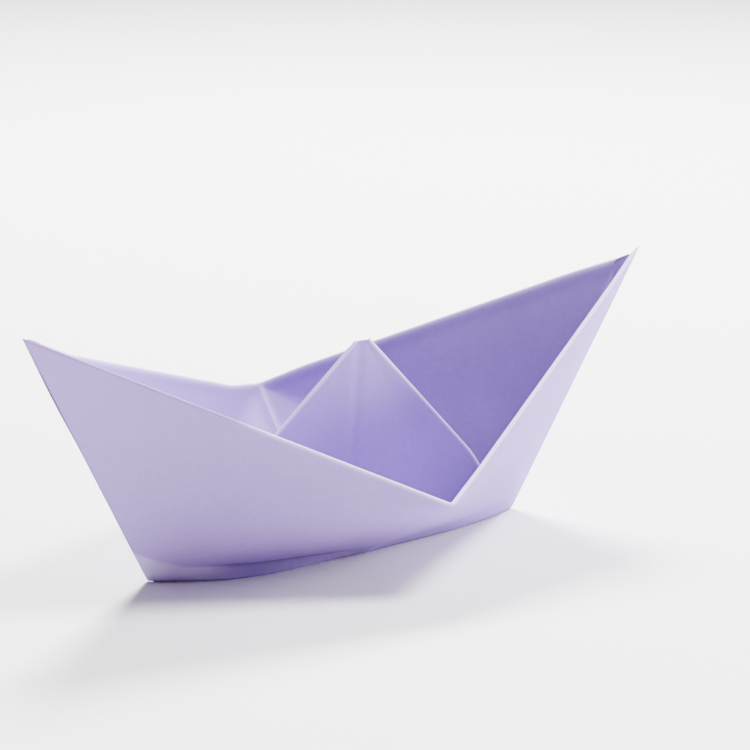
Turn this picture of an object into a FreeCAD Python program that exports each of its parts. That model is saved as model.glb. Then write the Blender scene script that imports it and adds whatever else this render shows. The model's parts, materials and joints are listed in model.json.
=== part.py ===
"""Classic folded paper boat, modelled as the creases divide its one sheet.

Every solid is one ply of one crease-bounded region of the sheet.  Outlines are drawn flat,
where u runs from the centre crease towards a tip and v runs down from the peak, and each
body's Placement folds its region into the boat.

Part frame, millimetres: +X bow, +Y port, +Z up, origin on the table midway between the tips
and midway between the gunwales, so the keel of the heeled hull lies a little to port of it.
"""
import FreeCAD, Part
import math
import os
import Sketcher

Vector = FreeCAD.Vector

DRIVING_SIZES = [
    ("sheet_width", 210.0, "short side of the sheet, which the half fold leaves whole"),
    ("sheet_length", 297.0, "long side of the sheet, which is folded in half"),
    ("paper_gauge", 0.12, "thickness of one ply"),
    ("ply_pitch", 0.20, "one ply to the next, with the air between them"),
    ("gusset_depth", 8.0, "bottom gusset along the centre crease, keel to chine"),
    ("side_rise", 32.0, "bilge above the horizontal, degrees, before the heel"),
    ("hull_heel", 5.0, "lean of the hull to starboard, degrees"),
    ("peak_lean", 8.0, "lean of the peak to starboard, degrees"),
    ("centre_gap", 0.10, "ply edge to the centre crease"),
    ("gunwale_gap", 0.15, "ply edge to the gunwale fold"),
    ("peak_gap", 0.20, "ply edge to the sloping edge of the peak"),
    ("keel_gap", 0.60, "lowest ply's edge to the keel crease"),
    ("keel_gap_per_ply", 0.80, "more for each ply above it"),
    ("chine_gap", 0.40, "lowest ply's edge to the chine"),
    ("chine_gap_per_ply", 0.80, "more for each ply above it"),
    ("diagonal_gap", 0.25, "lowest ply's edge to the diagonal crease"),
    ("diagonal_gap_per_ply", 0.12, "more for each ply above it"),
    ("stem_gap", 0.60, "lowest ply's edge to the stem"),
    ("stem_gap_per_ply", 0.45, "more for each ply above it"),
]

# Plies from the outer skin inwards: each cuff closes over the tucked corners, and on the port
# side those lie on the two plies of the corner flap.
STARBOARD_PLIES = {"skin": 0, "tuck": 1, "cuff": 2}
PORT_PLIES = {"skin": 0, "flap_under": 1, "flap_top": 2, "tuck": 3, "cuff": 4}
SIDES = {"starboard": (-1, STARBOARD_PLIES), "port": (1, PORT_PLIES)}
ENDS = {"bow": 1, "stern": -1}
FULL_PLIES = ("skin", "flap_under", "flap_top")

doc = FreeCAD.newDocument("paper_boat")
sizes = doc.addObject("Spreadsheet::Sheet", "sizes")
for row, (alias, value, meaning) in enumerate(DRIVING_SIZES, start=1):
    sizes.set(f"A{row}", str(value))
    sizes.setAlias(f"A{row}", alias)
    sizes.set(f"B{row}", meaning)
doc.recompute()


def size(alias):
    """A driving size as a number, for the folds."""
    return float(sizes.get(alias))


# ---- outlines on the flat sheet, as expressions of the driving sizes ----
TIP = "sizes.sheet_width / 2"
KEEL = "sizes.sheet_width / 4"
CUFF_DEPTH = "(sizes.sheet_length / 2 - sizes.sheet_width / 2)"
CUFF_EDGE = f"({TIP} - {CUFF_DEPTH})"
GUSSET = "sizes.gusset_depth"


def gap(crease, ply):
    """Distance of a ply's edge from a crease, larger for the plies inside the fold."""
    return f"(sizes.{crease}_gap + {ply} * sizes.{crease}_gap_per_ply)"


def across(distance):
    """Shift along u or v that moves a 45 degree edge by this distance."""
    return f"sqrt(2) * {distance}"


def peak_outline(ply):
    centre, slope, keel = "sizes.centre_gap", across("sizes.peak_gap"), gap("keel", ply)
    return [
        (centre, f"{centre} + {slope}"),
        (f"{KEEL} - {keel} - {slope}", f"{KEEL} - {keel}"),
        (centre, f"{KEEL} - {keel}"),
    ]


def bottom_outline(ply):
    centre, keel, chine = "sizes.centre_gap", gap("keel", ply), gap("chine", ply)
    return [
        (centre, f"{KEEL} + {keel}"),
        (f"{KEEL} * (1 - ({keel} + {chine}) / {GUSSET})", f"{KEEL} + {keel}"),
        (centre, f"{KEEL} + {GUSSET} * (1 - {centre} / ({KEEL})) - {chine}"),
    ]


def bilge_outline(ply):
    centre, chine, diagonal = "sizes.centre_gap", gap("chine", ply), across(gap("diagonal", ply))
    corner = f"({KEEL} - {GUSSET} - {chine} - {diagonal}) / (1 - {GUSSET} / ({KEEL}))"
    return [
        (centre, f"{KEEL} + {GUSSET} * (1 - {centre} / ({KEEL})) + {chine}"),
        (corner, f"{TIP} - {diagonal} - {corner}"),
        (centre, f"{TIP} - {diagonal} - {centre}"),
    ]


def quarter_outline(ply):
    gunwale, diagonal, stem = "sizes.gunwale_gap", across(gap("diagonal", ply)), across(gap("stem", ply))
    return [
        (f"({TIP} + {diagonal} - {stem}) / 2", f"({TIP} + {diagonal} + {stem}) / 2"),
        (f"{TIP} - {gunwale} - {stem}", f"{TIP} - {gunwale}"),
        (f"{diagonal} + {gunwale}", f"{TIP} - {gunwale}"),
    ]


def bilge_cuff_outline(ply):
    centre, diagonal = "sizes.centre_gap", across(gap("diagonal", ply))
    # The raw edge stays above the chine where a deep gusset would reach it.
    return [
        (centre, f"max({CUFF_EDGE}; {KEEL} + {GUSSET} + sizes.chine_gap)"),
        (f"{CUFF_DEPTH} - {diagonal}", CUFF_EDGE),
        (centre, f"{TIP} - {diagonal} - {centre}"),
    ]


def quarter_cuff_outline(ply):
    gunwale, diagonal, stem = "sizes.gunwale_gap", across(gap("diagonal", ply)), across(gap("stem", ply))
    return [
        (f"{CUFF_DEPTH} + {diagonal}", CUFF_EDGE),
        (f"{CUFF_EDGE} - {stem}", CUFF_EDGE),
        (f"{TIP} - {gunwale} - {stem}", f"{TIP} - {gunwale}"),
        (f"{diagonal} + {gunwale}", f"{TIP} - {gunwale}"),
    ]


def tuck_outline(ply):
    gunwale, stem = "sizes.gunwale_gap", across(gap("stem", ply))
    return [
        (CUFF_EDGE, f"{CUFF_EDGE} + {stem}"),
        (f"{TIP} - {gunwale} - {stem}", f"{TIP} - {gunwale}"),
        (CUFF_EDGE, f"{TIP} - {gunwale}"),
    ]


# ---- where the creases are, flat and folded ----
tip_flat = size("sheet_width") / 2
keel_flat = size("sheet_width") / 4
FLAT = {
    "peak": Vector(0, 0, 0),
    "keel_corner": Vector(keel_flat, keel_flat, 0),
    "keel_middle": Vector(0, keel_flat, 0),
    "chine_middle": Vector(0, keel_flat + size("gusset_depth"), 0),
    "gunwale_middle": Vector(0, tip_flat, 0),
    "tip": Vector(tip_flat, tip_flat, 0),
}


def folded_points(side, end):
    """The same crease corners in the part frame, for one quarter of the boat."""
    heel = math.radians(size("hull_heel"))
    rise = math.radians(size("side_rise"))
    lean = math.radians(size("peak_lean"))
    side_angle = rise + side * heel
    # The chine stays at table height, so the gusset's lower edge opens the keel a little.
    reach = keel_flat * math.cos(side_angle)
    bilge = keel_flat - size("gusset_depth")
    chine = reach - math.sqrt(reach**2 - keel_flat**2 + bilge**2)
    # Equal lengths from both gunwale middles put the tips in the plane that halves the hull.
    tip_height = keel_flat * math.sqrt(2 / (1 + math.sin(rise) ** 2))
    overhang = tip_height * math.sin(rise)
    # The heel carries both gunwales to starboard of the keel by this much.
    keel_y = keel_flat * math.sin(rise) * math.sin(heel)
    return {
        "peak": Vector(0, keel_y - keel_flat * math.sin(lean), keel_flat * math.cos(lean)),
        "keel_corner": Vector(end * keel_flat, keel_y, 0),
        "keel_middle": Vector(0, keel_y + side * (chine - size("gusset_depth")), 0),
        "chine_middle": Vector(0, keel_y + side * chine, 0),
        "gunwale_middle": Vector(0, keel_y + side * reach, keel_flat * math.sin(side_angle)),
        "tip": Vector(
            end * (keel_flat + overhang),
            keel_y - tip_height * math.sin(heel),
            tip_height * math.cos(heel),
        ),
    }


# Each region is folded by an edge that it keeps exactly, and by a third corner for its plane.
REGIONS = {
    "peak": (peak_outline, ("peak", "keel_corner", "keel_middle")),
    "bottom": (bottom_outline, ("keel_corner", "keel_middle", "chine_middle")),
    "bilge": (bilge_outline, ("keel_corner", "gunwale_middle", "chine_middle")),
    "quarter": (quarter_outline, ("keel_corner", "gunwale_middle", "tip")),
}
CUFF_REGIONS = {
    "bilge": (bilge_cuff_outline, REGIONS["bilge"][1]),
    "quarter": (quarter_cuff_outline, REGIONS["quarter"][1]),
}
TUCK_REGION = (tuck_outline, REGIONS["quarter"][1])


def fold_placement(corners, region, side, end, ply):
    """Placement that lays a flat region on its folded plane, its ply counted inwards."""
    flat = [FLAT[name] for name in corners]
    points = folded_points(side, end)
    folded = [points[name] for name in corners]
    flat_along = (flat[1] - flat[0]).normalize()
    flat_across = Vector(-flat_along.y, flat_along.x, 0)
    if flat_across.dot(flat[2] - flat[0]) < 0:
        flat_across = -flat_across
    along = (folded[1] - folded[0]).normalize()
    third = folded[2] - folded[0]
    across_fold = (third - along * third.dot(along)).normalize()
    u_axis = along * flat_along.x + across_fold * flat_across.x
    v_axis = along * flat_along.y + across_fold * flat_across.y
    normal = u_axis.cross(v_axis)
    # Inner plies lie up and inboard on the hull, and away from the hollow in the peak.
    inward = Vector(0, side, 0)
    if region != "peak":
        inward = Vector(0, 0, keel_flat) - folded[0]
    stack = normal if normal.dot(inward) > 0 else -normal
    offset = size("paper_gauge") / 2 + ply * size("ply_pitch")
    origin = folded[0] - u_axis * flat[0].x - v_axis * flat[0].y + stack * offset
    return FreeCAD.Placement(
        FreeCAD.Matrix(
            u_axis.x, v_axis.x, normal.x, origin.x,
            u_axis.y, v_axis.y, normal.y, origin.y,
            u_axis.z, v_axis.z, normal.z, origin.z,
        )
    )


def add_outline(sketch, outline):
    """Closed polygon whose corners are bound to the driving sizes."""
    count = len(outline)
    corners = [Vector(*(sizes.evalExpression(text) for text in corner), 0) for corner in outline]
    for index, start in enumerate(corners):
        sketch.addGeometry(Part.LineSegment(start, corners[(index + 1) % count]))
    for index in range(count):
        sketch.addConstraint(Sketcher.Constraint("Coincident", index, 2, (index + 1) % count, 1))
    for index, corner in enumerate(outline):
        for kind, distance, text in zip(("DistanceX", "DistanceY"), corners[index], corner):
            number = sketch.addConstraint(Sketcher.Constraint(kind, -1, 1, index, 1, distance))
            sketch.setExpression(f"Constraints[{number}]", text)


def add_ply(side_name, end_name, region, layer, shape):
    """One ply of one region as a PartDesign body: an outline padded by the paper's gauge."""
    side, plies = SIDES[side_name]
    ply = plies[layer]
    outline, corners = shape
    name = f"{side_name}_{end_name}_{region}_{layer}"
    body = doc.addObject("PartDesign::Body", name)
    body.Label = name
    sketch = body.newObject("Sketcher::SketchObject", f"{name}_outline")
    sheet_plane = next(plane for plane in body.Origin.OriginFeatures if plane.Role == "XY_Plane")
    sketch.AttachmentSupport = [(sheet_plane, "")]
    sketch.MapMode = "FlatFace"
    add_outline(sketch, outline(ply))
    pad = body.newObject("PartDesign::Pad", f"{name}_pad")
    pad.Profile = sketch
    pad.SideType = "Symmetric"
    pad.setExpression("Length", "sizes.paper_gauge")
    body.Tip = pad
    body.Placement = fold_placement(corners, region, side, ENDS[end_name], ply)
    return body


bodies = []
for side_name, (_, plies) in SIDES.items():
    for end_name in ENDS:
        for layer in FULL_PLIES:
            if layer in plies:
                for region, shape in REGIONS.items():
                    bodies.append(add_ply(side_name, end_name, region, layer, shape))
        for region, shape in CUFF_REGIONS.items():
            bodies.append(add_ply(side_name, end_name, region, "cuff", shape))
        bodies.append(add_ply(side_name, end_name, "quarter", "tuck", TUCK_REGION))
doc.recompute()

for item in doc.Objects:
    if "Invalid" in item.State or "Error" in item.State:
        raise RuntimeError(f"{item.Label} did not recompute: {item.State}")
for body in bodies:
    if body.Shape.isNull() or not body.Shape.isValid() or len(body.Shape.Solids) != 1:
        raise RuntimeError(f"{body.Label} is not one valid solid")

os.makedirs("parts", exist_ok=True)
for body in bodies:
    body.Shape.exportStep(f"parts/{body.Label}.step")
print(len(bodies), "plies written")
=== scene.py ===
import json
import math

import bpy
import numpy as np
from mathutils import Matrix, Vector


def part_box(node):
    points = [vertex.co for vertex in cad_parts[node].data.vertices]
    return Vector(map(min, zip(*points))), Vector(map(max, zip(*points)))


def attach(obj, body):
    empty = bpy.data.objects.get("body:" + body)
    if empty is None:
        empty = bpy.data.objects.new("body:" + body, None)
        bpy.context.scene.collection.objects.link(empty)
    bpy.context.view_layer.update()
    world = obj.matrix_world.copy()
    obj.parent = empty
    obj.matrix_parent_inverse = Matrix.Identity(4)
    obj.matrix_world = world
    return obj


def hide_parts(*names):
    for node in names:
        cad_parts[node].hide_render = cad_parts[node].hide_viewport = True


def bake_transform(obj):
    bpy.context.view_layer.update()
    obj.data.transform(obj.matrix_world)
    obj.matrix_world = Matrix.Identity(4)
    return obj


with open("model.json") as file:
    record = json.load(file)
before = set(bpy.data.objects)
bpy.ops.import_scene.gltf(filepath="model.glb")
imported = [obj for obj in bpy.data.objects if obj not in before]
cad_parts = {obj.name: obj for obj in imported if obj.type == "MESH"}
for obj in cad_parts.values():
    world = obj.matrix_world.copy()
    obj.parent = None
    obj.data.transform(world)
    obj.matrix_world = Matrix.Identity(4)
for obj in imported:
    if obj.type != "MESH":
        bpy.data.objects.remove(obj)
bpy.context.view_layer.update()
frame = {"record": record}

MM = 0.001
PAPER = 0.12 * MM
PLY_PITCH = 0.2 * MM
CREASE_GAP = 0.4 * MM  # what a solid of the frame stops short of its crease
JOINTS = {joint["name"]: joint for joint in frame["record"]["behaviour"]["joints"]}
SIDES = {"starboard": -1.0, "port": 1.0}
ENDS = {"bow": 1.0, "stern": -1.0}


# ---------------------------------------------------------------- corners of the folded sheet
def keel_corner(end):
    return np.array(JOINTS[f"starboard_{end}_fold"]["pos_m"])


KEEL = abs(keel_corner("bow")[0])  # half the keel, and the depth of the hull side
KEEL_Y = keel_corner("bow")[1]
TIP = 2 * KEEL
DIAGONAL = math.sqrt(2) * KEEL


def gunwale_middle(side):
    """The middle of one gunwale, where the crease from the keel corner crosses x = 0."""
    corner = keel_corner("bow")
    crease = np.array(JOINTS[f"{side}_bow_fold"]["axis"])
    return corner - crease * corner[0] / crease[0]


def tip(end):
    """Both stems leave the keel corner square to both diagonal creases."""
    corner = keel_corner(end)
    direction = np.cross(gunwale_middle("starboard") - corner, gunwale_middle("port") - corner)
    direction *= DIAGONAL / np.linalg.norm(direction)
    return corner + direction * np.sign(direction[2])


def chine_middle(side):
    low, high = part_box(f"{side}_bow_bottom_skin")
    chine_y = low[1] - CREASE_GAP if side == "starboard" else high[1] + CREASE_GAP
    return np.array([0.0, chine_y, 0.0])


# Where the photographed boat's corners lie from the ideal fold's, in millimetres.
OFF_IDEAL = {
    "stern": (-2.2, 0.3, 0.0),
    "bow": (0.3, 0.0, 0.0),
    "starboard": (1.2, -1.0, -1.7),
    "port": (0.0, 0.0, 0.0),
    ("starboard", "stern"): (-0.6, 0.0, 0.2),
    ("starboard", "bow"): (1.4, 0.0, 1.7),
    ("port", "stern"): (-0.6, 0.0, 0.2),
    ("port", "bow"): (0.0, 0.0, 0.0),
    "peak": (0.9, -0.3, 1.5),
}


def off_ideal(corner):
    return np.array(OFF_IDEAL[corner]) * MM


def peak_top():
    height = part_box("starboard_bow_peak_skin")[1][2] + CREASE_GAP
    across = math.sqrt(DIAGONAL**2 - KEEL**2 - height**2)
    return np.array([0.0, KEEL_Y - across, height]) + off_ideal("peak")


GUSSET = KEEL - np.linalg.norm(gunwale_middle("starboard") - chine_middle("starboard"))
CUFF = 43.5 * MM  # how deep the sheet's long edge is turned in along the gunwale
CUFF_EDGE = TIP - CUFF

# How the real paper leaves the flat facets, in millimetres.
#   foot: how far the paper stands out at the table beyond the chine, most at foot_at of the
#       way from the middle to the keel corner
#   foot_mid: the same at the middle
#   foot_tall: how far up the side the foot reaches, from the middle on and at the keel corner
#   round: radius of the diagonal crease at its ends, and how much more at half length
#   belly: how far the side is full
#   pleat: height of the ridge at the middle
#   lift: how far its gunwale stands above a straight line
SHAPE = {
    ("starboard", "stern"): dict(foot=6.6, foot_at=0.6, foot_mid=1.3, foot_tall=(5.4, 7.0),
                                 round=(0.8, 13.0), belly=0.7, pleat=0.0, lift=0.0),
    ("starboard", "bow"): dict(foot=2.6, foot_at=0.63, foot_mid=1.3, foot_tall=(6.6, 4.0),
                               round=(0.8, 13.0), belly=0.7, pleat=0.0, lift=-0.5),
    ("port", "stern"): dict(foot=2.4, foot_at=0.6, foot_mid=0.9, foot_tall=(6.0, 4.0),
                            round=(1.0, 3.0), belly=0.4, pleat=0.45, lift=-1.7),
    ("port", "bow"): dict(foot=2.4, foot_at=0.6, foot_mid=0.9, foot_tall=(6.0, 4.0),
                          round=(1.0, 3.0), belly=0.4, pleat=0.45, lift=0.6),
}
STEM_ROUND = 0.9 * MM
CHINE_ROUND = 0.8 * MM
FOOT_TOP_ROUND = 0.06  # of the foot's height
PLEAT_WIDTH = 1.5 * MM


def affine(flat, folded):
    """Matrix and offset that carry three flat corners (u, v) to three folded corners."""
    flat, folded = np.array(flat), np.array(folded)
    matrix = np.linalg.solve(flat[1:] - flat[0], folded[1:] - folded[0]).T
    return matrix, folded[0] - matrix @ flat[0]


def rounded(distance, radius):
    """0 before a crease and the distance past it, with the corner rounded over the radius."""
    inside = (distance + radius) ** 2 / (4 * radius)
    return np.where(distance < -radius, 0, np.where(distance > radius, distance, inside))


def smooth(value):
    value = np.clip(value, 0, 1)
    return value * value * (3 - 2 * value)


def ramp(value, start, finish):
    """0 up to start, 1 from finish on, and a smooth step between."""
    return smooth((value - start) / (finish - start))


def bump(distance, width):
    """1 at no distance, falling off smoothly to either side."""
    return np.exp(-((distance / width) ** 2))


def unit(vectors):
    return vectors / np.maximum(np.linalg.norm(vectors, axis=-1, keepdims=True), 1e-12)


def chine_at(reach):
    """How far down the flat sheet the chine lies, from the middle (0) to the keel corner (1)."""
    return KEEL + GUSSET * (1 - reach)


class Quarter:
    """One quarter of the hull side as a smooth surface over the flat sheet.

    u runs from the centre crease to the stem and v from the peak down to the gunwale.
    """

    def __init__(self, side, end):
        self.side, self.end = SIDES[side], ENDS[end]
        self.shape = SHAPE[side, end]
        corner = keel_corner(end) + off_ideal(end)
        middle = gunwale_middle(side) + off_ideal(side)
        chine, point = chine_middle(side), tip(end) + off_ideal((side, end))
        keel = np.array([0.0, chine[1] - self.side * GUSSET, 0.0])
        flat_corner, flat_middle = (KEEL, KEEL), (0.0, TIP)
        flat_chine, flat_tip = (0.0, KEEL + GUSSET), (TIP, TIP)
        self.bilge, self.start = affine((flat_corner, flat_middle, flat_chine), (corner, middle, chine))
        quarter, _ = affine((flat_corner, flat_middle, flat_tip), (corner, middle, point))
        bottom, _ = affine((flat_corner, (0.0, KEEL), flat_chine), (corner, keel, chine))
        self.diagonal = np.array([1.0, 1.0]) / math.sqrt(2)
        self.chine = unit(np.array([-GUSSET, -KEEL]))
        self.to_quarter = (quarter - self.bilge) @ self.diagonal
        self.to_bottom = (bottom - self.bilge) @ self.chine
        stem = np.array([1.0, -1.0]) / math.sqrt(2)
        along_stem = unit(point - corner)
        centre = unit(np.cross(along_stem, np.array([1.0, 0.0, 0.0])))
        forward = np.cross(centre, along_stem)
        across = quarter @ stem
        self.to_other_side = -2 * forward * (across @ forward)
        self.outward = unit(np.cross(middle - corner, point - corner))
        if self.outward[1] * self.side < 0:
            self.outward = -self.outward

    def foot_height(self, reach):
        tall, tall_at_corner = self.shape["foot_tall"]
        return (tall + (tall_at_corner - tall) * ramp(reach, 0.5, 1)) * MM

    def above_foot(self, u, v):
        """How far up the side a point is from the top of the foot."""
        reach = np.clip(u / KEEL, 0, 1)
        return v - chine_at(reach) - self.foot_height(reach)

    def facets(self, u, v):
        """The flat faces, joined by creases whose rounding closes in where they meet."""
        flat = np.stack([u, v], axis=-1)
        position = flat @ self.bilge.T + self.start
        from_middle = (u + TIP - v) / math.sqrt(2)
        at_ends, more_half_way = self.shape["round"]
        along = np.clip(from_middle / DIAGONAL, 0, 1)
        radius = (at_ends + more_half_way * np.sin(math.pi * along**1.2)) * MM
        radius = np.minimum(radius, 0.95 * np.maximum(from_middle, 0) + 0.02 * MM)
        past_diagonal = (u + v - TIP) / math.sqrt(2)
        position = position + rounded(past_diagonal, radius)[..., None] * self.to_quarter
        from_corner = np.linalg.norm(flat - KEEL, axis=-1)
        radius = np.minimum(CHINE_ROUND, 0.1 * from_corner + 0.01 * MM)
        past_chine = (flat - KEEL) @ self.chine
        position = position + rounded(past_chine, radius)[..., None] * self.to_bottom
        past_stem = (u - v) / math.sqrt(2)
        return position + rounded(past_stem, STEM_ROUND)[..., None] * self.to_other_side

    def foot_out(self, u, v):
        """How far the paper stands out beyond the chine, as a steep foot at the table."""
        shape = self.shape
        reach = np.clip(u / KEEL, 0, 1)
        chine_v = chine_at(reach)
        skew = math.log(0.5) / math.log(shape["foot_at"])
        foot = shape["foot"] * np.sin(math.pi * reach**skew) + shape["foot_mid"] * (1 - reach)
        above = rounded(1 - (v - chine_v) / self.foot_height(reach), FOOT_TOP_ROUND)
        below = np.clip((v - KEEL) / np.maximum(chine_v - KEEL, 0.01 * MM), 0, 1)
        return foot * np.where(v > chine_v, np.minimum(above, 1), below) * MM

    def raw(self, u, v):
        """The outer face over flat points u, v."""
        shape = self.shape
        position = self.facets(u, v)
        position[..., 1] += self.side * self.foot_out(u, v)
        # The rest of the side is a little full, and its gunwale a little out of line.
        chine_v = chine_at(np.clip(u / KEEL, 0, 1))
        height = np.clip((v - chine_v) / (TIP - chine_v), 0, 1)
        out = np.sin(math.pi * np.clip(u / np.maximum(v, 1e-6), 0, 1))
        bulge = shape["belly"] * MM * out * np.sin(math.pi * height)
        position = position + bulge[..., None] * self.outward
        pleat = shape["pleat"] * MM * bump(u, PLEAT_WIDTH) * ramp(height, 0, 0.5)
        position = position - pleat[..., None] * self.outward * np.array([0.0, 1.0, 1.0])
        between = ramp(u / TIP, 0, 0.15) * ramp(1 - u / TIP, 0, 0.2)
        position[..., 2] += shape["lift"] * MM * between * ramp(height, 0.5, 1)
        return position

    def inward(self, u, v):
        step = 0.1 * MM
        along_u = self.raw(u + step, v) - self.raw(u - step, v)
        along_v = self.raw(u, v + step) - self.raw(u, v - step)
        normal = unit(np.cross(along_u, along_v))
        flip = np.sign(-normal @ self.outward)
        return normal * flip[..., None]

    def at(self, u, v, depth):
        """A point of the sheet, this far inside the outer face."""
        return self.raw(u, v) + self.inward(u, v) * np.asarray(depth)[..., None]


QUARTERS = {(side, end): Quarter(side, end) for side in SIDES for end in ENDS}


# ---------------------------------------------------------------- meshes of thin paper
def thin_sheet(name, grid, worn=None, shaded=None):
    """A closed mesh of paper whose middle surface passes through a grid of points."""
    rows, columns, _ = grid.shape
    normal = unit(np.cross(np.gradient(grid, axis=0), np.gradient(grid, axis=1)))
    points_up = (grid + normal * PAPER / 2).reshape(-1, 3)
    points_down = (grid - normal * PAPER / 2).reshape(-1, 3)
    count = rows * columns
    index = np.arange(count).reshape(rows, columns)
    corners = (index[:-1, :-1], index[1:, :-1], index[1:, 1:], index[:-1, 1:])
    quads = np.stack(corners, axis=-1).reshape(-1, 4)
    rim = np.concatenate([index[0, :], index[1:, -1], index[-1, -2::-1], index[-2:0:-1, 0]])
    following = np.roll(rim, -1)
    rim_quads = np.stack([rim, rim + count, following + count, following], axis=-1)
    faces = np.concatenate([quads, quads[:, ::-1] + count, rim_quads[:, ::-1]])
    mesh = bpy.data.meshes.new(name)
    mesh.from_pydata(np.concatenate([points_up, points_down]).tolist(), [], faces.tolist())
    mesh.validate()
    smooth_faces = np.ones(len(mesh.polygons), bool)
    smooth_faces[2 * len(quads):] = False
    mesh.polygons.foreach_set("use_smooth", smooth_faces)
    edge_of_rim = {tuple(sorted(pair)) for pair in zip(rim.tolist(), following.tolist())}
    edge_of_rim |= {(a + count, b + count) for a, b in edge_of_rim}
    sharp = [tuple(sorted(edge.vertices)) in edge_of_rim for edge in mesh.edges]
    mesh.attributes.new("sharp_edge", "BOOLEAN", "EDGE").data.foreach_set("value", sharp)
    # Per-point amounts for the material: painted highlight over some fold wear, and painted shade.
    for attribute, amount in {"worn": worn, "shaded": shaded}.items():
        amount = np.zeros(count) if amount is None else np.asarray(amount, float).reshape(-1)
        values = mesh.attributes.new(attribute, "FLOAT", "POINT").data
        values.foreach_set("value", np.concatenate([amount, amount]))
    piece = bpy.data.objects.new(name, mesh)
    bpy.context.scene.collection.objects.link(piece)
    return piece


STEM_SHORT = 3.4  # what a ply stops short of the stem, for each unit of its depth


def slope_limit(depth, first=0.0):
    """How far short of the stem a ply at this depth inside the fold has to end, along u."""
    return math.sqrt(2) * (first + STEM_SHORT * np.maximum(np.asarray(depth) - PAPER / 2, 0))


def ply_depth(ply):
    return PAPER / 2 + ply * PLY_PITCH


def hull_strip(across, rows):
    """Flat points and depths for rows of (s, depth): s is 0 at the chine and 1 at the gunwale."""
    s, depth = np.array(rows).T
    s, depth = s[:, None], depth[:, None]
    t = across[None, :]
    v = chine_at(t) * (1 - s) + TIP * s
    u = t * (KEEL * (1 - s) + TIP * s - slope_limit(depth))
    return u, v, np.broadcast_to(depth, u.shape)


def place(piece, body, body_past=None, start=None, end=None, covers=()):
    piece.data.materials.append(paper)
    if body_past is None:
        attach(piece, body)
    else:
        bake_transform(piece)
    if covers:
        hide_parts(*covers)
    return piece


BEND_HALF_WIDTH = 6 * MM


def across_diagonal(side, end):
    """Two points either side of the diagonal crease, which lies between its bodies."""
    corner, middle = keel_corner(end), gunwale_middle(side)
    along = unit(middle - corner)
    over = tip(end) - corner
    over = unit(over - along * (over @ along))
    centre = (corner + middle) / 2
    return centre - over * BEND_HALF_WIDTH, centre + over * BEND_HALF_WIDTH


def across_bottom(side):
    start = np.array([0.0, KEEL_Y, 0.0])
    return start, chine_middle(side)


# ---------------------------------------------------------------- paper
def paper_material(name, base, shade, worn, painted_shade):
    """Matte paper mottled shade to base, paled by painted highlight and wear, darkened by painted
    shade.
    """
    material = bpy.data.materials.new(name)
    material.use_nodes = True
    nodes, links = material.node_tree.nodes, material.node_tree.links
    nodes.clear()
    output = nodes.new("ShaderNodeOutputMaterial")
    place_of = nodes.new("ShaderNodeTexCoord")
    mottle = nodes.new("ShaderNodeTexNoise")
    mottle.inputs["Scale"].default_value = 900
    mottle.inputs["Detail"].default_value = 6
    cloud = nodes.new("ShaderNodeTexNoise")
    cloud.inputs["Scale"].default_value = 45
    cloud.inputs["Detail"].default_value = 3
    both = nodes.new("ShaderNodeMath")
    both.operation = "MULTIPLY"
    ramp = nodes.new("ShaderNodeValToRGB")
    ramp.color_ramp.elements[0].position = 0.12
    ramp.color_ramp.elements[0].color = (*shade, 1)
    ramp.color_ramp.elements[1].position = 0.36
    ramp.color_ramp.elements[1].color = (*base, 1)
    grain = nodes.new("ShaderNodeBump")
    grain.inputs["Strength"].default_value = 0.12
    grain.inputs["Distance"].default_value = 0.05 * MM
    color = ramp.outputs["Color"]
    # The first tint is painted shade, dark in creases, dips and along the stem; the second is painted
    # highlight over some fold wear, pale on folds and lit facets.
    for attribute, tint in {"shaded": painted_shade, "worn": worn}.items():
        amount = nodes.new("ShaderNodeAttribute")
        amount.attribute_name = attribute
        tinted = nodes.new("ShaderNodeMixRGB")
        tinted.inputs["Color2"].default_value = (*tint, 1)
        links.new(amount.outputs["Fac"], tinted.inputs["Fac"])
        links.new(color, tinted.inputs["Color1"])
        color = tinted.outputs["Color"]
    surface = nodes.new("ShaderNodeBsdfPrincipled")
    surface.inputs["Roughness"].default_value = 0.78
    surface.inputs["Specular IOR Level"].default_value = 0.12
    through = nodes.new("ShaderNodeBsdfTranslucent")
    mix = nodes.new("ShaderNodeMixShader")
    mix.inputs["Fac"].default_value = 0.025
    for noise in (mottle, cloud):
        links.new(place_of.outputs["Object"], noise.inputs["Vector"])
    links.new(mottle.outputs["Fac"], both.inputs[0])
    links.new(cloud.outputs["Fac"], both.inputs[1])
    links.new(both.outputs["Value"], ramp.inputs["Fac"])
    links.new(mottle.outputs["Fac"], grain.inputs["Height"])
    links.new(color, surface.inputs["Base Color"])
    links.new(color, through.inputs["Color"])
    links.new(grain.outputs["Normal"], surface.inputs["Normal"])
    links.new(grain.outputs["Normal"], through.inputs["Normal"])
    links.new(surface.outputs["BSDF"], mix.inputs[1])
    links.new(through.outputs["BSDF"], mix.inputs[2])
    links.new(mix.outputs["Shader"], output.inputs["Surface"])
    return material


# The pale tint paints highlights on folds and lit facets, over some fold wear; the dark tint paints
# shade in creases, dips and along the stem.
paper = paper_material("lilac_paper", base=(0.37, 0.25, 0.62), shade=(0.335, 0.222, 0.58),
                       worn=(0.70, 0.56, 0.92), painted_shade=(0.13, 0.07, 0.28))

# ---------------------------------------------------------------- hull
ACROSS = np.concatenate([np.linspace(0, 0.97, 130)[:-1], np.linspace(0.97, 1, 14)])
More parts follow.
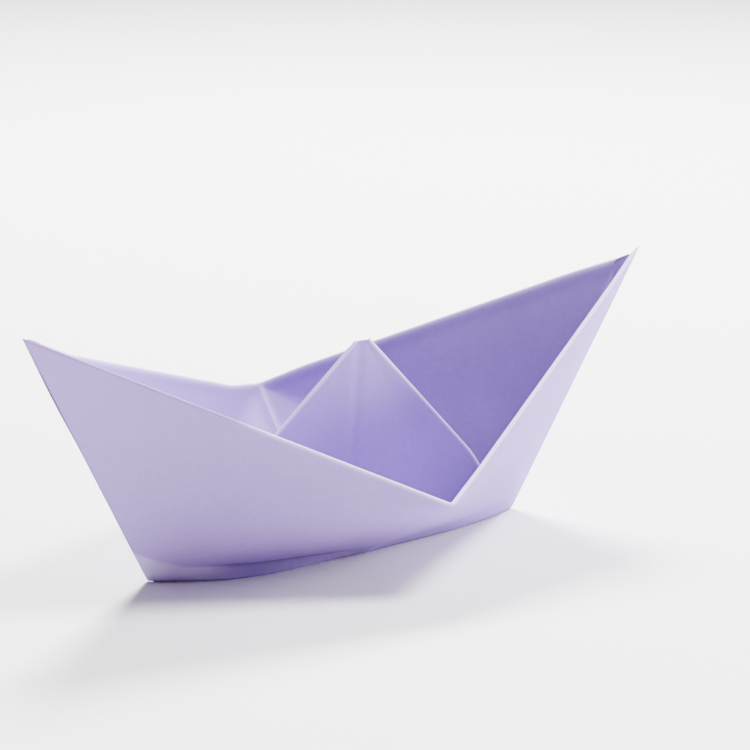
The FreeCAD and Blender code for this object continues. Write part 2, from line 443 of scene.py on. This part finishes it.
# Plies from the outer face inwards, in the order the frame's solids have.
SKIN_PLY = 0
CUFF_PLY = {"starboard": 2, "port": 4}
TUCK_PLY = {"starboard": 1, "port": 3}
FLAP_PLY = {"flap_under": 1, "flap_top": 2}
FOLD_HIGHLIGHT = 0.5 * MM  # how far from a fold the painted highlight reaches, over some fibre wear
# Painted highlight along the gunwale fold, wider on the port side.
GUNWALE_HIGHLIGHT = {"starboard": FOLD_HIGHLIGHT, "port": 1.8 * FOLD_HIGHLIGHT}
FOLD_PUFF = 0.4 * MM  # the gunwale fold is a little fatter than the plies it holds
SETTLES = 4 * MM  # how far below the fold the cuff lies flat again
SIDE_DEEP = TIP - KEEL
CLEAR_OF_MIDDLE = 0.002  # of a strip's length, so that bow and stern strips don't meet
BOTTOM_END, BOTTOM_END_PER_PLY = 0.97, 0.03  # of the keel's half length
BOTTOM_START, BOTTOM_START_PER_PLY = 0.02, 0.06  # of the gusset's depth
FLAP_TOP = 0.992  # of the side's depth
TUCK_CLEAR = 0.6 * MM  # from its edges to the gunwale and, beyond what its depth asks for, the stem
TUCK_TOP = TIP - TUCK_CLEAR
TUCK_POINT = 0.8 * MM  # width of the tuck where it would run out to a point


def gunwale_rows(side):
    """Skin from chine to gunwale, round the fold, then the cuff down to its raw edge."""
    skin, cuff = ply_depth(SKIN_PLY), ply_depth(CUFF_PLY[side])
    fold = (cuff - skin + FOLD_PUFF) / 2
    top = 1 - fold / SIDE_DEEP
    rows = [(top * (1 - (1 - step) ** 1.3), skin) for step in np.linspace(0, 1, 90)]
    for angle in np.linspace(0, math.pi, 9)[1:]:
        rows.append((top + math.sin(angle) * fold / SIDE_DEEP, skin + fold * (1 - math.cos(angle))))
    edge = (CUFF_EDGE - KEEL - GUSSET) / (TIP - KEEL - GUSSET)
    for step in np.linspace(0, 1, 60)[1:]:
        s = top + (edge - top) * step
        settled = ramp((top - s) * SIDE_DEEP, 0, SETTLES)
        rows.append((s, cuff + FOLD_PUFF * (1 - float(settled))))
    return rows


def fold_marks(side, end, u, v, inner):
    """How much painted highlight (over fold wear) and painted shade the sheet gets along its folds."""
    worn = bump(TIP - v, GUNWALE_HIGHLIGHT[side])
    shaded = np.zeros(u.shape)
    past_stem = (v - u) / math.sqrt(2)
    outer = ~inner
    if (side, end) == ("port", "stern"):
        # Inside, painted shade in a strip beside the middle pleat; outside, painted shade along the
        # stem.
        middle_pleat_shade = 0.22 * ramp(u, 0, 1 * MM) * bump(u, 2.6 * MM)
        shaded = np.maximum(inner * middle_pleat_shade, outer * bump(past_stem, 0.9 * MM))
    if (side, end) == ("port", "bow"):
        # Inside, painted highlights: a pale strip near the stem and a pale line on the middle pleat.
        stem_strip_highlight = 0.8 * bump(past_stem - 2.2 * MM, 1.0 * MM) * ramp(u / TIP, 0.6, 0.8)
        middle_pleat_highlight = 0.7 * bump(u, 1.0 * MM)
        worn = np.maximum(worn, inner * np.maximum(stem_strip_highlight, middle_pleat_highlight))
    if (side, end) == ("starboard", "stern"):
        far_out = ramp(u / TIP, 0.42, 0.54)
        near_corner = ramp(u / KEEL, 0.62, 0.82)
        above = QUARTERS[side, end].above_foot(u, v)
        # Outside, painted shade along the top of the foot and along the stem; painted shade on the
        # gunwale towards the tip.
        foot_top_shade = 0.8 * bump(above - 0.3 * MM, 0.7 * MM) * (1 - near_corner) * ramp(u / KEEL, 0, 0.25)
        stem = bump(past_stem, 0.55 * MM) * (0.45 + 0.45 * far_out)
        gunwale = 0.3 * bump(TIP - v, 0.35 * MM) * far_out
        shaded = np.maximum(outer * np.maximum(foot_top_shade, stem), gunwale)
        # Painted light on the foot's facet at the keel corner; the gunwale's painted highlight fades
        # towards the tip.
        corner_facet_light = 0.45 * near_corner * ramp(-above, 0, 0.5 * MM)
        worn = np.maximum(worn * (1 - 0.9 * far_out), outer * corner_facet_light)
    return worn, shaded


def flat_piece(name, quarter, u, v, ply):
    return thin_sheet(name, quarter.at(u, v, np.full(u.shape, ply_depth(ply))))


def nodes_of(name, *layers):
    """The frame's nodes for these plies of one end of the hull's side."""
    return [f"{name}_{region}_{layer}" for region in ("bilge", "quarter") for layer in layers]


def bottom_strip(name, quarter, layer, ply):
    t = np.linspace(CLEAR_OF_MIDDLE, BOTTOM_END - BOTTOM_END_PER_PLY * ply, 90)[None, :]
    s = np.linspace(BOTTOM_START + BOTTOM_START_PER_PLY * ply, 1, 9)[:, None]
    u, v = np.broadcast_arrays(t * KEEL, KEEL + GUSSET * (1 - t) * s)
    return flat_piece(f"{name}_bottom_{layer}", quarter, u, v, ply)


def corner_flap(name, quarter, layer, ply):
    across = CLEAR_OF_MIDDLE + (1 - CLEAR_OF_MIDDLE) * ACROSS[::2] / ACROSS[-1]
    rows = [(s, ply_depth(ply)) for s in np.linspace(0, FLAP_TOP, 50)]
    return thin_sheet(f"{name}_{layer}", quarter.at(*hull_strip(across, rows)))


def cuff_corner(name, quarter, ply):
    """The cuff's corner, folded under along u = CUFF_EDGE."""
    short = slope_limit(ply_depth(ply), TUCK_CLEAR)
    down = np.linspace(0, 1, 45)[:, None]
    along = np.linspace(0, 1, 45)[None, :]
    v = TUCK_TOP - down * (TUCK_TOP - CUFF_EDGE - short - TUCK_POINT)
    u = CUFF_EDGE + along * (v - short - CUFF_EDGE)
    return flat_piece(f"{name}_tuck", quarter, u, v + 0 * along, ply)


for (side, end), quarter in QUARTERS.items():
    name = f"{side}_{end}"
    start, finish = across_diagonal(side, end)
    hull_bodies = (f"{side}_bilge", f"{side}_{end}", start, finish)
    bottom_bodies = ("bottom", f"{side}_bilge", *across_bottom(side))
    u, v, depth = hull_strip(ACROSS, gunwale_rows(side))
    inner = depth > ply_depth(SKIN_PLY) + FOLD_PUFF
    worn, shaded = fold_marks(side, end, u, v, inner)
    side_sheet = thin_sheet(f"{name}_side", quarter.at(u, v, depth), worn, shaded)
    place(side_sheet, *hull_bodies, covers=nodes_of(name, "skin", "cuff"))
    flaps = FLAP_PLY if side == "port" else {}
    for layer, ply in ({"skin": SKIN_PLY} | flaps).items():
        strip = bottom_strip(name, quarter, layer, ply)
        place(strip, *bottom_bodies, covers=[f"{name}_bottom_{layer}"])
    for layer, ply in flaps.items():
        flap = corner_flap(name, quarter, layer, ply)
        place(flap, *hull_bodies, covers=nodes_of(name, layer))
    tuck = cuff_corner(name, quarter, TUCK_PLY[side])
    place(tuck, f"{side}_{end}", covers=[f"{name}_quarter_tuck"])

# ---------------------------------------------------------------- peak
PEAK_HALF_THICK = 0.35 * MM
PEAK_TOP = peak_top()
PEAK_LOWEST = 0.994  # of the way from the peak's top to the keel
PEAK_SPARE = {-1: 0.9 * MM, 1: 2.6 * MM}  # how far the fold stands past the stern and bow crease
PEAK_CLOSED_IN = 1.4 * MM  # how much narrower it is at the keel corners
PEAK_BOW_THICKER = 0.4  # of its thickness, at the bow fold
PEAK_CUSHION = 0.7 * MM
PEAK_CREASE, PEAK_CREASE_WIDTH = 0.28 * MM, 1.6 * MM
ROLL_POINTS = 11


def peak_point(u, v, side, outward):
    """A point of one face of the peak; outward is how far it stands off the edges' plane."""
    down = v / KEEL
    height = PEAK_TOP[2] * (1 - down)
    y = PEAK_TOP[1] + (KEEL_Y - PEAK_TOP[1]) * down
    foot = abs(chine_middle("starboard" if side < 0 else "port")[1] - KEEL_Y) - GUSSET
    opened = foot * down * (1 - np.abs(u) / np.maximum(v, 0.1 * MM))
    x = u + PEAK_TOP[0] * (1 - down)
    return np.stack([x, y + side * (opened + outward), height + 0 * u], axis=-1)


def peak_half(down, sign):
    """Half width of the peak, with the blunt fold beyond the crease that closes in at the keel."""
    down = np.minimum(down, 0.96)
    closed_in = PEAK_CLOSED_IN * ramp(down, 0.72, 0.92)
    return KEEL * down + PEAK_SPARE[sign] * (1 - ramp(down, 0.62, 0.88)) - closed_in


def lifted(down, outward):
    """The peak's lower edge rises a little towards the keel corners, clear of the hull there."""
    return np.minimum(down, PEAK_LOWEST - 0.035 * np.abs(outward) ** 8)


def edge_roll(down, sign):
    """Points round the fold of one sloping edge, from the starboard face to the port face."""
    thick = PEAK_HALF_THICK * (1 + PEAK_BOW_THICKER * (sign > 0))
    half = peak_half(down, sign)
    turn = np.linspace(math.pi / 2, -math.pi / 2, ROLL_POINTS)
    u = sign * (half + thick * np.cos(turn))
    return peak_point(u, np.full(u.shape, KEEL * lifted(down, 1)), -1, thick * np.sin(turn))


def peak_front():
    """The starboard face with the rounded fold at each sloping edge."""
    columns = np.linspace(-1, 1, 121)
    near_top, below = np.linspace(0.0, 0.05, 8)[:-1], np.linspace(0.05, PEAK_LOWEST, 74)
    roll_highlight = np.ones(ROLL_POINTS - 1)
    rows, worn = [], []
    for down in np.concatenate([near_top, below]):
        u = np.where(columns > 0, peak_half(down, 1), peak_half(down, -1)) * columns
        v = KEEL * lifted(down, columns)
        thick = PEAK_HALF_THICK * (1 + PEAK_BOW_THICKER * ramp(columns, 0.6, 0.9))
        crease = PEAK_CREASE * bump(u, PEAK_CREASE_WIDTH) * (1 - 0.6 * down)
        cushion = PEAK_CUSHION * down * np.sin(math.pi * (columns + 1) / 2) ** 2
        face = peak_point(u, v, -1, thick + cushion - crease)
        stern, bow = edge_roll(down, -1), edge_roll(down, 1)
        rows.append(np.concatenate([stern[:0:-1], face, bow[1:]]))
        near_edge = np.minimum(u + peak_half(down, -1), peak_half(down, 1) - u)
        # Painted highlight, over some fold wear, on the rolled edges and just inside them.
        worn.append(np.concatenate([roll_highlight, bump(near_edge, FOLD_HIGHLIGHT), roll_highlight]))
    return thin_sheet("peak_front", np.array(rows), np.array(worn))


def peak_back(name, sign, ply):
    """One ply of the port face, from the centre crease to inside the fold of the edge."""
    t = np.linspace(0, 1, 50)[None, :]
    down = np.linspace(0.03, PEAK_LOWEST - 0.004 * (1 + ply), 60)[:, None]
    u = sign * (0.05 * MM * (1 + 3 * ply) + t * (peak_half(down, sign) - 0.3 * MM))
    outward = PEAK_HALF_THICK + PLY_PITCH * ply
    return thin_sheet(name, peak_point(u, KEEL * lifted(down, t), 1, outward))


# The peak meets the bottom at the keel crease; its pieces are placed with both bodies and two heights
# above it.
PEAK_BEND = (0.3 * MM, 6 * MM)  # two heights above the keel crease
above_keel = [(0, KEEL_Y, height) for height in PEAK_BEND]
peak_bodies = ("bottom", "peak", *above_keel)
place(peak_front(), *peak_bodies, covers=[f"starboard_{end}_peak_skin" for end in ENDS])
for end, sign in ENDS.items():
    for ply, layer in enumerate(("skin", "flap_under", "flap_top")):
        face = peak_back(f"port_{end}_peak_{layer}_sheet", sign, ply)
        place(face, *peak_bodies, covers=[f"port_{end}_peak_{layer}"])


# ---------------------------------------------------------------- floor, light and camera
def plain_material(name, color):
    material = bpy.data.materials.new(name)
    material.use_nodes = True
    shader = material.node_tree.nodes["Principled BSDF"]
    shader.inputs["Base Color"].default_value = (*color, 1)
    shader.inputs["Roughness"].default_value = 0.9
    shader.inputs["Specular IOR Level"].default_value = 0.2
    return material


FLOOR_SIZE = 6
FLOOR_Z = -0.1 * MM  # just clear of the paper that stands on it
bpy.ops.mesh.primitive_plane_add(size=FLOOR_SIZE, location=(0, 0, FLOOR_Z))
floor = bpy.context.object
floor.name = "floor"
floor.data.materials.append(plain_material("table", (0.90, 0.89, 0.90)))


def studio_world(toward, dim, bright):
    """Plain soft light all round, bright in this direction, dim behind and never quite dark."""
    world = bpy.data.worlds.new("studio")
    world.use_nodes = True
    nodes, links = world.node_tree.nodes, world.node_tree.links
    background = nodes["Background"]
    background.inputs["Color"].default_value = (1.0, 0.985, 0.97, 1)
    place_of = nodes.new("ShaderNodeTexCoord")
    facing = nodes.new("ShaderNodeVectorMath")
    facing.operation = "DOT_PRODUCT"
    facing.inputs[1].default_value = Vector(toward).normalized()
    amount = nodes.new("ShaderNodeMapRange")
    amount.inputs["From Min"].default_value = -1
    amount.inputs["To Min"].default_value = dim
    amount.inputs["To Max"].default_value = bright
    links.new(place_of.outputs["Generated"], facing.inputs[0])
    links.new(facing.outputs["Value"], amount.inputs["Value"])
    at_least = nodes.new("ShaderNodeMath")
    at_least.operation = "MAXIMUM"
    at_least.inputs[1].default_value = 0.05
    links.new(amount.outputs["Result"], at_least.inputs[0])
    links.new(at_least.outputs["Value"], background.inputs["Strength"])
    bpy.context.scene.world = world


studio_world(toward=(0.75, 0.6, 0.3), dim=-1.4, bright=1.6)

LOOK_AT = np.array([10.3, 2.6, 41.8]) * MM
CAMERA_AZIMUTH, CAMERA_ELEVATION = -32.73, 14.73
CAMERA_DISTANCE = 626.8 * MM
CAMERA_LENS = 121.19
SENSOR_WIDTH = 36


def direction(azimuth, elevation):
    """Unit vector from the boat towards a light or camera at these angles in degrees."""
    az, el = math.radians(azimuth), math.radians(elevation)
    return np.array([math.sin(az) * math.cos(el), -math.cos(az) * math.cos(el), math.sin(el)])


def aimed(thing, location, target):
    away = location - target
    thing.location = location
    thing.rotation_euler = Vector(away).to_track_quat("Z", "Y").to_euler()


def soft_box(name, azimuth, elevation, distance, size, watts, color):
    data = bpy.data.lights.new(name, "AREA")
    data.shape = "DISK"
    data.size = size
    data.energy = watts
    data.color = color
    light = bpy.data.objects.new(name, data)
    bpy.context.scene.collection.objects.link(light)
    aimed(light, LOOK_AT + direction(azimuth, elevation) * distance, LOOK_AT)


soft_box("key", azimuth=150, elevation=48, distance=1.2, size=0.4, watts=70,
         color=(1.0, 0.99, 0.98))
soft_box("window", azimuth=70, elevation=12, distance=1.3, size=0.6, watts=30,
         color=(1.0, 0.98, 0.98))
soft_box("top", azimuth=62, elevation=60, distance=1.2, size=0.4, watts=36,
         color=(1.0, 0.98, 1.0))

camera_data = bpy.data.cameras.new("camera")
camera_data.lens = CAMERA_LENS
camera_data.sensor_width = SENSOR_WIDTH
camera = bpy.data.objects.new("camera", camera_data)
bpy.context.scene.collection.objects.link(camera)
camera_direction = direction(CAMERA_AZIMUTH, CAMERA_ELEVATION)
aimed(camera, LOOK_AT + camera_direction * CAMERA_DISTANCE, LOOK_AT)
bpy.context.scene.camera = camera
